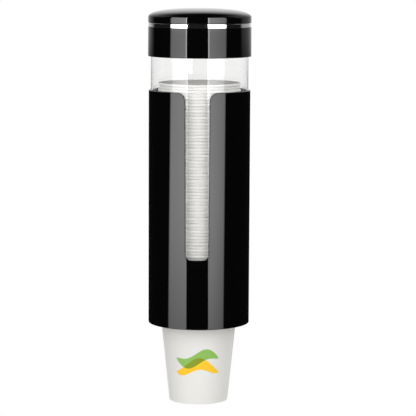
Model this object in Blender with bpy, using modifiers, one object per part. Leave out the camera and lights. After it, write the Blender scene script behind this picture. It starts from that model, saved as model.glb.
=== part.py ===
"""A pull-type paper cup dispenser for a wall, at its real size in metres.

A clear tube full of nested cups stands inside a slotted black sleeve. Six rubber claws at the
bottom hold the rim of the lowest cup, which is pulled down and out. The lid lifts off for
refilling, and the whole housing lifts off its wall bracket.

Z is up, the front faces -Y, and the origin is the centre of the wall side of the adhesive pad.
"""

import math

import bmesh
import bpy
from mathutils import Matrix

# General clearances and smoothness
CLEAR = 0.0003
OVERRUN = 0.002
WELD = 0.00001
BODY_SEGMENTS = 48
CUP_SEGMENTS = 20
SCREW_SEGMENTS = 12
SHARP_ANGLE = math.radians(32)

# The paper cup
CUP_HEIGHT = 0.090
CUP_RIM_DIAMETER = 0.0775
CUP_BASE_DIAMETER = 0.055
CUP_ROLL_WIDTH = 0.0022
CUP_ROLL_HEIGHT = 0.003
CUP_WALL = 0.0003
CUP_FLOOR = 0.0004
NEST_GAP = 0.00031
CUP_COUNT = 37

# Claws, their ring and the ring that clamps them
CLAW_COUNT = 6
CLAW_GRIP = 0.00115
CLAW_WIDTH = 0.011
CLAW_THICKNESS = 0.0012
CLAW_TIP_THICKNESS = 0.0009
CLAW_BEAD_RADIUS = 0.001
CLAW_HINGE_INSET = 0.0024
CLAW_HINGE_HEIGHT = 0.0117
RING_PASS_GAP = 0.00185
RING_BACK_WALL = 0.0012
RING_HEIGHT = 0.007
RING_SPIGOT_HEIGHT = 0.0075
RING_SPIGOT_WALL = 0.0014
CLAMP_THICKNESS = 0.0022
NOTCH_DEPTH_EXTRA = 0.00015

# Clamp screws
SCREW_RADIUS = 0.00095
SCREW_LENGTH = 0.0065
SCREW_HEAD_RADIUS = 0.0018
SCREW_HEAD_HEIGHT = 0.0014
SCREW_EDGE = 0.0004

# Clear tube and outer sleeve
TUBE_WALL = 0.0015
TUBE_HEADROOM = 0.058
TUBE_SHOWN = 0.0305
SLEEVE_WALL = 0.0017
SLEEVE_EDGE = 0.0004
SLOT_SILL_HEIGHT = 0.0638
SLOT_TOP_WIDTH = 0.0231
SLOT_BOTTOM_WIDTH = 0.0215
SLOT_SHOULDER_RADIUS = 0.008
SLOT_CORNER_RADIUS = 0.004

# Lid
LID_WALL = 0.0024
LID_FIT_GAP = 0.00035
SKIRT_HEIGHT = 0.0266
TRIM_HEIGHT = 0.0042
TRIM_INSET = 0.00025
LID_SPIGOT_WALL = 0.00075
LID_SPIGOT_DEPTH = 0.0158
LID_LAND_WIDTH = 0.0026
LID_LAND_RISE = 0.0024
CAP_WALL_HEIGHT = 0.0051
CAP_CORNER_RADIUS = 0.0042
CAP_DOME_RISE = 0.0042
CAP_ROOF = 0.0024
CAP_CORNER_STEPS = 4
CAP_DOME_STEPS = 4

# Wall bracket, hanger and adhesive pad
PAD_THICKNESS = 0.001
PAD_WIDTH = 0.044
PAD_HEIGHT = 0.058
PAD_CORNER = 0.003
PLATE_THICKNESS = 0.003
PLATE_SIDE = 0.003
PLATE_END = 0.0174
PLATE_CORNER = 0.006
SCREW_HOLE_DIAMETER = 0.0045
SCREW_HOLE_SINK_DIAMETER = 0.009
SCREW_HOLE_INSET = 0.009
HANGER_HEIGHT = 0.050
FLANGE_WIDTH = 0.0474
FLANGE_THICKNESS = 0.0028
NECK_WIDTH = 0.0354
RAIL_WEB = 0.003
RAIL_LIP_THICKNESS = 0.0023
RAIL_RISE = 0.002
STOP_HEIGHT = 0.003
STOP_INSET = 0.0003
SADDLE_WIDTH = 0.048
SADDLE_THICKNESS = 0.0031
SADDLE_STEPS = 8
MOUNT_HEIGHT = 0.125

# Sizes of the cup that follow from the ones above
RIM_RADIUS = CUP_RIM_DIAMETER / 2
BASE_RADIUS = CUP_BASE_DIAMETER / 2
WALL_TOP_RADIUS = RIM_RADIUS - CUP_ROLL_WIDTH
CUP_SLOPE = (WALL_TOP_RADIUS - BASE_RADIUS) / (CUP_HEIGHT - CUP_ROLL_HEIGHT)
CUP_PITCH = (CUP_WALL + NEST_GAP) / CUP_SLOPE
FLOOR_TOP = CUP_PITCH - CLEAR
FLOOR_UNDER = FLOOR_TOP - CUP_FLOOR

# Radii of the housing, from the cup's rim outwards
RING_INNER = RIM_RADIUS + RING_PASS_GAP
RING_WIDTH = CLAW_HINGE_INSET + CLAW_BEAD_RADIUS + CLEAR + RING_BACK_WALL
TUBE_OUTER = RING_INNER + RING_WIDTH
TUBE_INNER = TUBE_OUTER - TUBE_WALL
SLEEVE_INNER = TUBE_OUTER + CLEAR
SLEEVE_OUTER = SLEEVE_INNER + SLEEVE_WALL
LID_INNER = TUBE_OUTER + LID_FIT_GAP
LID_OUTER = LID_INNER + LID_WALL
HINGE_RADIUS = RING_INNER + CLAW_HINGE_INSET
CLAW_LENGTH = HINGE_RADIUS - (RIM_RADIUS - CLAW_GRIP)
SCREW_CIRCLE = RING_INNER + RING_WIDTH / 2

# Depths from the wall, all negative because the wall is at zero
PLATE_BACK = -(PAD_THICKNESS + CLEAR)
PLATE_FRONT = PLATE_BACK - PLATE_THICKNESS
FLANGE_BACK = PLATE_FRONT - CLEAR
FLANGE_FRONT = FLANGE_BACK - FLANGE_THICKNESS
LIP_BACK = FLANGE_FRONT - CLEAR
LIP_FRONT = LIP_BACK - RAIL_LIP_THICKNESS
SADDLE_BACK = LIP_FRONT - CLEAR
SLEEVE_BACK = SADDLE_BACK - SADDLE_THICKNESS - CLEAR
AXIS_Y = SLEEVE_BACK - SLEEVE_OUTER

# Heights, from the mount's centre
SLEEVE_BOTTOM = -MOUNT_HEIGHT
HINGE_Z = SLEEVE_BOTTOM + CLAW_HINGE_HEIGHT
CLAW_TOP = HINGE_Z + CLAW_THICKNESS / 2
CLAMP_TOP = HINGE_Z - CLAW_BEAD_RADIUS - CLEAR
CLAMP_BOTTOM = CLAMP_TOP - CLAMP_THICKNESS
RING_BOTTOM = CLAMP_TOP + CLEAR
RING_TOP = RING_BOTTOM + RING_HEIGHT
TUBE_BOTTOM = RING_TOP + CLEAR
CUP_Z = CLAW_TOP + CLEAR + CUP_ROLL_HEIGHT - CUP_HEIGHT
STACK_TOP = CUP_Z + (CUP_COUNT - 1) * CUP_PITCH + CUP_HEIGHT
TUBE_TOP = STACK_TOP + TUBE_HEADROOM
LAND_Z = TUBE_TOP + CLEAR
CAP_BOTTOM = LAND_Z - LID_LAND_RISE
TRIM_TOP = CAP_BOTTOM - CLEAR
TRIM_BOTTOM = TRIM_TOP - TRIM_HEIGHT
SKIRT_TOP = TRIM_BOTTOM - CLEAR
LID_BOTTOM = SKIRT_TOP - SKIRT_HEIGHT
SLEEVE_TOP = LID_BOTTOM - TUBE_SHOWN

# The bracket's rails, from the mount's centre
STOP_TOP = -HANGER_HEIGHT / 2 - CLEAR
RAIL_BOTTOM = STOP_TOP - STOP_HEIGHT - STOP_INSET
RAIL_TOP = HANGER_HEIGHT / 2 + RAIL_RISE
RAIL_INSIDE = FLANGE_WIDTH / 2 + CLEAR
RAIL_OUTSIDE = RAIL_INSIDE + RAIL_WEB
PLATE_WIDTH = 2 * (RAIL_OUTSIDE + PLATE_SIDE)
PLATE_HEIGHT = 2 * (PLATE_END - RAIL_BOTTOM)


# Collections and finishes

def clear_scene():
    for obj in list(bpy.data.objects):
        bpy.data.objects.remove(obj, do_unlink=True)


def collection(name):
    made = bpy.data.collections.new(name)
    bpy.context.scene.collection.children.link(made)
    return made


def finish(name, colour, roughness, metallic=0.0, transmission=0.0):
    material = bpy.data.materials.new(name)
    material.use_nodes = True
    shader = material.node_tree.nodes["Principled BSDF"]
    shader.inputs["Base Color"].default_value = (*colour, 1.0)
    shader.inputs["Roughness"].default_value = roughness
    shader.inputs["Metallic"].default_value = metallic
    shader.inputs["Transmission Weight"].default_value = transmission
    material.diffuse_color = (*colour, 1.0)
    return material


clear_scene()
PARTS = collection("Cup dispenser")
CUTTERS = collection("Cutters")
GLOSS_BLACK = finish("gloss black plastic", (0.012, 0.012, 0.013), 0.12)
SATIN_BLACK = finish("satin black plastic", (0.02, 0.02, 0.021), 0.45)
PLATED = finish("plated trim", (0.80, 0.80, 0.82), 0.08, metallic=1.0)
CLEAR_PLASTIC = finish("clear plastic", (0.93, 0.95, 0.95), 0.05, transmission=0.9)
PAPER = finish("cup paper", (0.86, 0.85, 0.82), 0.6)
SILICONE = finish("silicone rubber", (0.10, 0.10, 0.11), 0.55)
STEEL = finish("zinc plated steel", (0.62, 0.62, 0.60), 0.3, metallic=1.0)
FOAM = finish("adhesive foam", (0.75, 0.75, 0.73), 0.8)


# Ways of making a solid

def add(name, mesh, material, matrix=Matrix.Identity(4)):
    obj = bpy.data.objects.new(name, mesh)
    obj.matrix_world = matrix
    mesh.materials.append(material)
    PARTS.objects.link(obj)
    return obj


def arc(centre, radius, start, end, steps):
    """Points along an arc, both ends included, with the angles in degrees."""
    angles = [math.radians(start + (end - start) * i / steps) for i in range(steps + 1)]
    return [(centre[0] + radius * math.cos(a), centre[1] + radius * math.sin(a)) for a in angles]


def rounded_rectangle(width, height, radius):
    corners = ((1, 1, 0), (-1, 1, 90), (-1, -1, 180), (1, -1, 270))
    outline = []
    for across, up, start in corners:
        centre = (across * (width / 2 - radius), up * (height / 2 - radius))
        outline += arc(centre, radius, start, start + 90, 4)
    return outline


def settle(obj):
    """Replaces the object's mesh by the result of its modifiers, merged and smooth shaded."""
    graph = bpy.context.evaluated_depsgraph_get()
    mesh = bpy.data.meshes.new_from_object(obj.evaluated_get(graph), depsgraph=graph)
    edit = bmesh.new()
    edit.from_mesh(mesh)
    bmesh.ops.remove_doubles(edit, verts=edit.verts, dist=WELD)
    bmesh.ops.recalc_face_normals(edit, faces=edit.faces)
    edit.to_mesh(mesh)
    edit.free()
    obj.modifiers.clear()
    obj.data = mesh
    mesh.shade_smooth()
    mesh.set_sharp_from_angle(angle=SHARP_ANGLE)
    return obj


def turned(name, profile, material, segments=BODY_SEGMENTS, hollow=True, matrix=None):
    """A solid turned about the dispenser's axis, from a profile of radii and heights.

    A hollow ring's profile closes on itself; a solid's starts and ends on the axis.
    """
    mesh = bpy.data.meshes.new(name)
    edges = [(i, i + 1) for i in range(len(profile) - 1)]
    if hollow:
        edges.append((len(profile) - 1, 0))
    mesh.from_pydata([(r, 0, z) for r, z in profile], edges, [])
    obj = add(name, mesh, material, matrix or Matrix.Translation((0, AXIS_Y, 0)))
    screw = obj.modifiers.new("Turn", "SCREW")
    screw.steps = screw.render_steps = segments
    screw.use_merge_vertices = True
    screw.merge_threshold = WELD
    return settle(obj)


def extruded(name, outline, depth, material, matrix=Matrix.Identity(4)):
    """A flat outline in the object's own XY, made half its depth to each side."""
    curve = bpy.data.curves.new(name, "CURVE")
    curve.dimensions = "2D"
    curve.fill_mode = "BOTH"
    curve.extrude = depth / 2
    spline = curve.splines.new("POLY")
    spline.points.add(len(outline) - 1)
    for point, (x, y) in zip(spline.points, outline):
        point.co = (x, y, 0, 1)
    spline.use_cyclic_u = True
    guide = bpy.data.objects.new(name + " outline", curve)
    CUTTERS.objects.link(guide)
    graph = bpy.context.evaluated_depsgraph_get()
    mesh = bpy.data.meshes.new_from_object(guide.evaluated_get(graph), depsgraph=graph)
    bpy.data.objects.remove(guide, do_unlink=True)
    mesh.name = name
    mesh.materials.clear()
    return settle(add(name, mesh, material, matrix))


def as_cutter(obj):
    PARTS.objects.unlink(obj)
    CUTTERS.objects.link(obj)
    obj.hide_render = True
    obj.display_type = "WIRE"
    return obj


def boolean(obj, others, operation):
    for other in others:
        step = obj.modifiers.new(other.name, "BOOLEAN")
        step.operation = operation
        step.object = as_cutter(other)
    return settle(obj)


def cut(obj, *others):
    return boolean(obj, others, "DIFFERENCE")


def join(obj, *others):
    return boolean(obj, others, "UNION")


def box(name, low, high, material, matrix=Matrix.Identity(4)):
    size = [b - a for a, b in zip(low, high)]
    middle = [(a + b) / 2 for a, b in zip(low, high)]
    mesh = bpy.data.meshes.new(name)
    edit = bmesh.new()
    place = Matrix.Translation(middle) @ Matrix.Diagonal((*size, 1))
    bmesh.ops.create_cube(edit, size=1, matrix=place)
    edit.to_mesh(mesh)
    edit.free()
    return add(name, mesh, material, matrix)


def around(count, number, offset=0.0):
    """Turns a place on the +X side of the axis to one of several round it, the first in front."""
    turn = math.radians(-90 + offset + 360 * number / count)
    return Matrix.Translation((0, AXIS_Y, 0)) @ Matrix.Rotation(turn, 4, "Z")


UPRIGHT = Matrix.Rotation(math.radians(90), 4, "X")


# Wall bracket, pad and hanger

def make_wall_mount():
    pad_place = Matrix.Translation((0, -PAD_THICKNESS / 2, 0)) @ UPRIGHT
    pad_outline = rounded_rectangle(PAD_WIDTH, PAD_HEIGHT, PAD_CORNER)
    extruded("adhesive_pad", pad_outline, PAD_THICKNESS, FOAM, pad_place)

    plate_place = Matrix.Translation((0, (PLATE_BACK + PLATE_FRONT) / 2, 0)) @ UPRIGHT
    plate_outline = rounded_rectangle(PLATE_WIDTH, PLATE_HEIGHT, PLATE_CORNER)
    plate = extruded("wall_bracket", plate_outline, PLATE_THICKNESS, SATIN_BLACK, plate_place)

    opening = NECK_WIDTH / 2 + CLEAR
    inside_plate = (PLATE_BACK + PLATE_FRONT) / 2
    rail_outline = [(RAIL_OUTSIDE, inside_plate), (RAIL_OUTSIDE, LIP_FRONT), (opening, LIP_FRONT),
                    (opening, LIP_BACK), (RAIL_INSIDE, LIP_BACK), (RAIL_INSIDE, inside_plate)]
    mirrored = [(-x, y) for x, y in reversed(rail_outline)]
    rails_place = Matrix.Translation((0, 0, (RAIL_BOTTOM + RAIL_TOP) / 2))
    rails = [extruded("rail", outline, RAIL_TOP - RAIL_BOTTOM, SATIN_BLACK, rails_place)
             for outline in (rail_outline, mirrored)]
    stop_reach = (RAIL_INSIDE + RAIL_OUTSIDE) / 2
    stop = box("stop", (-stop_reach, LIP_FRONT + STOP_INSET, STOP_TOP - STOP_HEIGHT),
               (stop_reach, inside_plate, STOP_TOP), SATIN_BLACK)
    join(plate, *rails, stop)

    sink = (SCREW_HOLE_SINK_DIAMETER - SCREW_HOLE_DIAMETER) / 2
    hole_radius = SCREW_HOLE_DIAMETER / 2
    profile = [(0, OVERRUN), (hole_radius + sink + OVERRUN, OVERRUN), (hole_radius, -sink),
               (hole_radius, -PLATE_THICKNESS - OVERRUN), (0, -PLATE_THICKNESS - OVERRUN)]
    hole_height = PLATE_HEIGHT / 2 - SCREW_HOLE_INSET
    for side in (-1, 1):
        place = Matrix.Translation((0, PLATE_FRONT, side * hole_height)) @ UPRIGHT
        hole = turned("screw hole", profile, SATIN_BLACK, SCREW_SEGMENTS * 2, False, place)
        cut(plate, hole)


def make_hanger():
    flange, neck, saddle = FLANGE_WIDTH / 2, NECK_WIDTH / 2, SADDLE_WIDTH / 2
    seat = SLEEVE_OUTER + CLEAR
    reach = math.degrees(math.acos(saddle / seat))
    half = [(flange, FLANGE_BACK), (flange, FLANGE_FRONT), (neck, FLANGE_FRONT),
            (neck, SADDLE_BACK), (saddle, SADDLE_BACK)]
    curve = arc((0, AXIS_Y), seat, reach, 180 - reach, SADDLE_STEPS)
    outline = half + curve + [(-x, y) for x, y in reversed(half)]
    extruded("hanger", outline, HANGER_HEIGHT, SATIN_BLACK)


# Sleeve and tube

def make_sleeve():
    low, high = SLEEVE_BOTTOM, SLEEVE_TOP
    profile = [(SLEEVE_INNER + SLEEVE_EDGE, high), (SLEEVE_OUTER - SLEEVE_EDGE, high),
               (SLEEVE_OUTER, high - SLEEVE_EDGE), (SLEEVE_OUTER, low + SLEEVE_EDGE),
               (SLEEVE_OUTER - SLEEVE_EDGE, low), (SLEEVE_INNER, low),
               (SLEEVE_INNER, high - SLEEVE_EDGE)]
    sleeve = turned("sleeve", profile, GLOSS_BLACK)

    top, bottom = SLOT_TOP_WIDTH / 2, SLOT_BOTTOM_WIDTH / 2
    sill = SLEEVE_BOTTOM + SLOT_SILL_HEIGHT
    corner, shoulder = SLOT_CORNER_RADIUS, SLOT_SHOULDER_RADIUS
    right = arc((bottom - corner, sill + corner), corner, -90, 0, 4)
    right += arc((top + shoulder, SLEEVE_TOP - shoulder), shoulder, 180, 90, 6)
    right.append((top + shoulder, SLEEVE_TOP + OVERRUN))
    outline = right + [(-x, z) for x, z in reversed(right)]
    depth = SLEEVE_OUTER + OVERRUN
    place = Matrix.Translation((0, AXIS_Y - depth / 2, 0)) @ UPRIGHT
    cut(sleeve, extruded("slot", outline, depth, GLOSS_BLACK, place))


def make_tube():
    profile = [(TUBE_INNER, TUBE_TOP), (TUBE_OUTER, TUBE_TOP),
               (TUBE_OUTER, TUBE_BOTTOM), (TUBE_INNER, TUBE_BOTTOM)]
    turned("clear_tube", profile, CLEAR_PLASTIC)


# Lid

def make_lid():
    spigot_outer = LID_INNER + LID_SPIGOT_WALL
    step_inner = spigot_outer + CLEAR
    spigot_bottom = SKIRT_TOP - LID_SPIGOT_DEPTH
    turned("lid_skirt", [
        (step_inner, SKIRT_TOP), (LID_OUTER, SKIRT_TOP), (LID_OUTER, LID_BOTTOM),
        (LID_INNER, LID_BOTTOM), (LID_INNER, spigot_bottom - CLEAR),
        (step_inner, spigot_bottom - CLEAR)], GLOSS_BLACK)

    trim_outer = LID_OUTER - TRIM_INSET
    turned("lid_trim_ring", [
        (step_inner, TRIM_TOP), (trim_outer, TRIM_TOP),
        (trim_outer, TRIM_BOTTOM), (step_inner, TRIM_BOTTOM)], PLATED)

    # The dome is a shallow sphere that meets the corner's arc on a common tangent
    corner = (LID_OUTER - CAP_CORNER_RADIUS, CAP_BOTTOM + CAP_WALL_HEIGHT)
    rise = CAP_CORNER_RADIUS + CAP_DOME_RISE
    apex = corner[1] + rise
    dome_radius = (corner[0] ** 2 + rise ** 2 - CAP_CORNER_RADIUS ** 2) / (2 * CAP_DOME_RISE)
    dome_centre = apex - dome_radius
    meet = math.degrees(math.atan2(corner[1] - dome_centre, corner[0]))
    outer = arc((0, dome_centre), dome_radius, 90, meet, CAP_DOME_STEPS)
    outer[0] = (0, apex)
    outer += arc(corner, CAP_CORNER_RADIUS, meet, 0, CAP_CORNER_STEPS)[1:]
    outer.append((LID_OUTER, CAP_BOTTOM))
    land = LID_INNER - LID_LAND_WIDTH
    inner_radius = dome_radius - CAP_ROOF
    edge = math.degrees(math.acos(land / inner_radius))
    inner = arc((0, dome_centre), inner_radius, edge, 90, CAP_DOME_STEPS)
    inner[-1] = (0, apex - CAP_ROOF)
    turned("lid_cap", outer + [
        (spigot_outer, CAP_BOTTOM), (spigot_outer, spigot_bottom), (LID_INNER, spigot_bottom),
        (LID_INNER, LAND_Z), (land, LAND_Z)] + inner, GLOSS_BLACK, hollow=False)


# Claw ring, claws, clamp ring and screws

def make_outlet():
    spigot_outer = TUBE_INNER - CLEAR
    spigot_top = TUBE_BOTTOM + RING_SPIGOT_HEIGHT
    ring = turned("claw_ring", [
        (spigot_outer - RING_SPIGOT_WALL, spigot_top), (spigot_outer, spigot_top),
        (spigot_outer, RING_TOP), (TUBE_OUTER, RING_TOP), (TUBE_OUTER, RING_BOTTOM),
        (RING_INNER, RING_BOTTOM), (RING_INNER, RING_TOP),
        (spigot_outer - RING_SPIGOT_WALL, RING_TOP + RING_SPIGOT_WALL)], SATIN_BLACK)
    clamp = turned("clamp_ring", [
        (RING_INNER, CLAMP_TOP), (TUBE_OUTER, CLAMP_TOP),
        (TUBE_OUTER, CLAMP_BOTTOM), (RING_INNER, CLAMP_BOTTOM)], SATIN_BLACK)

    half_width = CLAW_WIDTH / 2 + CLEAR
    pocket_back = HINGE_RADIUS + CLAW_BEAD_RADIUS + CLEAR
    pocket_top = HINGE_Z + CLAW_BEAD_RADIUS + CLEAR
    notch_back = HINGE_RADIUS + NOTCH_DEPTH_EXTRA
    pockets, notches, ring_holes, clamp_holes = [], [], [], []
    for number in range(CLAW_COUNT):
        place = around(CLAW_COUNT, number)
        pockets.append(box("pocket", (BASE_RADIUS, -half_width, RING_BOTTOM - OVERRUN),
                           (pocket_back, half_width, pocket_top), SATIN_BLACK, place))
        notches.append(box("notch", (BASE_RADIUS, -half_width, CLAMP_BOTTOM - OVERRUN),
                           (notch_back, half_width, CLAMP_TOP + OVERRUN), SATIN_BLACK, place))
        between = around(CLAW_COUNT, number, 180 / CLAW_COUNT)
        half_facet = Matrix.Rotation(math.pi / SCREW_SEGMENTS, 4, "Z")
        at = between @ Matrix.Translation((SCREW_CIRCLE, 0, 0)) @ half_facet
        bore = SCREW_RADIUS + CLEAR
        hole_top = CLAMP_BOTTOM + SCREW_LENGTH + CLEAR
        for holes, low, high in ((ring_holes, RING_BOTTOM - OVERRUN, hole_top),
                                 (clamp_holes, CLAMP_BOTTOM - OVERRUN, CLAMP_TOP + OVERRUN)):
            holes.append(turned("screw bore", [(0, high), (bore, high), (bore, low), (0, low)],
                                SATIN_BLACK, SCREW_SEGMENTS, False, at))
        make_clamp_screw(number, at)
        make_claw(number, place)
    cut(ring, *pockets, *ring_holes)
    cut(clamp, *notches, *clamp_holes)


def make_clamp_screw(number, place):
    head, thread, edge = SCREW_HEAD_RADIUS, SCREW_RADIUS, SCREW_EDGE
    profile = [(0, SCREW_LENGTH), (thread - edge, SCREW_LENGTH), (thread, SCREW_LENGTH - edge),
               (thread, -CLEAR), (head, -CLEAR), (head, edge - SCREW_HEAD_HEIGHT),
               (head - edge, -SCREW_HEAD_HEIGHT), (0, -SCREW_HEAD_HEIGHT)]
    matrix = place @ Matrix.Translation((0, 0, CLAMP_BOTTOM))
    turned(f"clamp_screw_{number + 1}", profile, STEEL, SCREW_SEGMENTS, False, matrix)


def make_claw(number, place):
    """A tongue that points at the axis from a round bead, which lies in the ring's pocket."""
    above = CLAW_THICKNESS / 2
    below = CLAW_TIP_THICKNESS - above
    meet = math.degrees(math.asin(above / CLAW_BEAD_RADIUS))
    bead = arc((0, 0), CLAW_BEAD_RADIUS, 180 - meet, meet - 180, 8)
    tip_edge = below
    tip = [(-CLAW_LENGTH + tip_edge, -below), (-CLAW_LENGTH, 0), (-CLAW_LENGTH, above / 2),
           (-CLAW_LENGTH + tip_edge, above)]
    matrix = place @ Matrix.Translation((HINGE_RADIUS, 0, HINGE_Z)) @ UPRIGHT
    extruded(f"claw_{number + 1}", bead + tip, CLAW_WIDTH, SILICONE, matrix)


# Paper cups

def cup_wall(height):
    """The outer radius of a cup's wall at a height above its base."""
    return BASE_RADIUS + CUP_SLOPE * height


def make_cups():
    """All the cups share one mesh. Each stands a pitch above the one that it is nested in."""
    under_roll = CUP_HEIGHT - CUP_ROLL_HEIGHT
    profile = [(0, FLOOR_TOP), (cup_wall(FLOOR_TOP) - CUP_WALL, FLOOR_TOP),
               (cup_wall(CUP_HEIGHT) - CUP_WALL, CUP_HEIGHT), (RIM_RADIUS, CUP_HEIGHT),
               (RIM_RADIUS, under_roll), (WALL_TOP_RADIUS, under_roll), (BASE_RADIUS, 0),
               (BASE_RADIUS - CUP_WALL, 0), (cup_wall(FLOOR_UNDER) - CUP_WALL, FLOOR_UNDER),
               (0, FLOOR_UNDER)]
    lowest = turned("cup_1", profile, PAPER, CUP_SEGMENTS, False,
                    Matrix.Translation((0, AXIS_Y, CUP_Z)))
    for number in range(1, CUP_COUNT):
        cup = bpy.data.objects.new(f"cup_{number + 1}", lowest.data)
        cup.location = (0, AXIS_Y, CUP_Z + number * CUP_PITCH)
        PARTS.objects.link(cup)


make_wall_mount()
make_hanger()
make_sleeve()
make_tube()
make_lid()
make_outlet()
make_cups()
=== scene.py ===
"""The looks of a pull-type paper cup dispenser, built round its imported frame.

Metres, Z up. The front faces -Y and the wall is at Y zero. The sections follow the dispenser as
it is put together: the studio, then the wall side, the housing, the outlet, the cups and the lid.
"""

import math

import bmesh
import bpy
from mathutils import Matrix, Quaternion, Vector


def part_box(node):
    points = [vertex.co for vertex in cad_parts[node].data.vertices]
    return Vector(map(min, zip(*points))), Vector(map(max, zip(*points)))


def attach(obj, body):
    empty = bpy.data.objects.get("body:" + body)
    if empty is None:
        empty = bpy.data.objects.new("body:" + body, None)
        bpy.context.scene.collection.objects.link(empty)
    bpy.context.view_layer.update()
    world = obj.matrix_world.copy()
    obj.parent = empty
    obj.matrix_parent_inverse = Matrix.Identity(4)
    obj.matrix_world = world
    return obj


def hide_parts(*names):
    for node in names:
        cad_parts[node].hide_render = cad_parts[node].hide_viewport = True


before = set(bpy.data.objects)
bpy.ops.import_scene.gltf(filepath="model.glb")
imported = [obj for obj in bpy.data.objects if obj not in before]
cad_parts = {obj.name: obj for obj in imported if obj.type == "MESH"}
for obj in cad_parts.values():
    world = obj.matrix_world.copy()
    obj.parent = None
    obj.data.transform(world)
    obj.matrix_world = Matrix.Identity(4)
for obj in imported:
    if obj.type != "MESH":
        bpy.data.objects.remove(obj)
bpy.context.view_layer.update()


# The studio. The dispenser hangs before a white backdrop, well above a pale floor. Two tall
# softboxes stand left and right of the camera, and the gloss black shows them as grey stripes.
# The rest of the room is dark, which keeps the black between the stripes deep.

CAMERA_DISTANCE = 1.95
CAMERA_TURN = math.radians(2.0)
CAMERA_LOOK_DOWN = math.radians(7.3)
CAMERA_ROLL = math.radians(0.27)
CAMERA_LENS = 179.2
AIM_ABOVE_SLEEVE_BOTTOM = 0.1082
AIM_RIGHT_OF_AXIS = 0.0084

FLOOR_DROP = 0.75
FLOOR_RADIUS = 0.9
FLOOR_FADE_START = 0.35
FLOOR_COLOUR = (0.80, 0.80, 0.79, 1)
FLOOR_ROUGHNESS = 0.7
FLOOR_SEGMENTS = 64

SOFTBOX_STAND_OFF = 1.15
SOFTBOX_HEIGHTS = (-0.45, 0.126, 0.92)
SOFTBOX_GLOW = 3.5
SOFTBOX_IN_DIFFUSE = 0.28
LEFT_SOFTBOX = ((-27.9, -74.0), (-27.9, -66.5), (-27.9, -66.5))
RIGHT_SOFTBOX = ((23.5, 57.5), (18.2, 61.0), (18.2, 61.0))
LEFT_FALLOFF, RIGHT_FALLOFF = 0.25, 0.45
SOFTBOX_INNER_LEVEL = 1.12
SOFTBOX_RIM_SHARE, SOFTBOX_RIM_LEVEL = 0.9, 0.4
SOFTBOX_FOOT_FADE = (-0.45, -0.116, 0.58)
SOFTBOX_DIP = (0.0, 0.08, 0.27)
SOFTBOX_PEAK = (0.103, 0.112, 0.32)
SOFTBOX_LINE_GLOW = 4.6
SOFTBOX_LINE_SHARE, SOFTBOX_LINE_BLUR = 0.06, 0.1
SOFTBOX_LINE_FOOT = (-0.03, 0.005)

ROOM_LIGHT = 0.28
FRONT_LIGHT = 1.42
FRONT_LIGHT_LOWEST, FRONT_LIGHT_LOW = -0.18, -0.03
FRONT_LIGHT_HIGH, FRONT_LIGHT_HIGHEST = 0.26, 0.40
FRONT_LIGHT_FOCUS = 1.5
BACKDROP_LIGHT, BACKDROP_LIGHT_FOCUS = 0.62, 2.0
CEILING_LIGHT = 0.7
CEILING_LOW, CEILING_HIGH = 0.35, 0.8
ROOM_IN_GLOSS = 0.008
BACKDROP_LOWEST = math.sin(math.radians(-4.2))
BACKDROP_FULL = math.sin(math.radians(-2.2))
BACKDROP_HIGH = math.sin(math.radians(17))
BACKDROP_TOP = math.sin(math.radians(45))
BACKDROP_BEHIND = (-0.05, 0.1)
BACKDROP_WIDENING = 0.5
BACKDROP_SIDE_LIFT = 0.3
BACKDROP_STOPS = ((0.06, 0.0), (0.13, 0.32), (0.28, 0.60), (0.45, 1.0), (0.55, 1.0),
                  (0.80, 0.42), (0.96, 0.28), (0.985, 0.0))

sleeve_low, sleeve_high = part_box("sleeve")
AXIS_X = (sleeve_low.x + sleeve_high.x) / 2
AXIS_Y = (sleeve_low.y + sleeve_high.y) / 2


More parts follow.
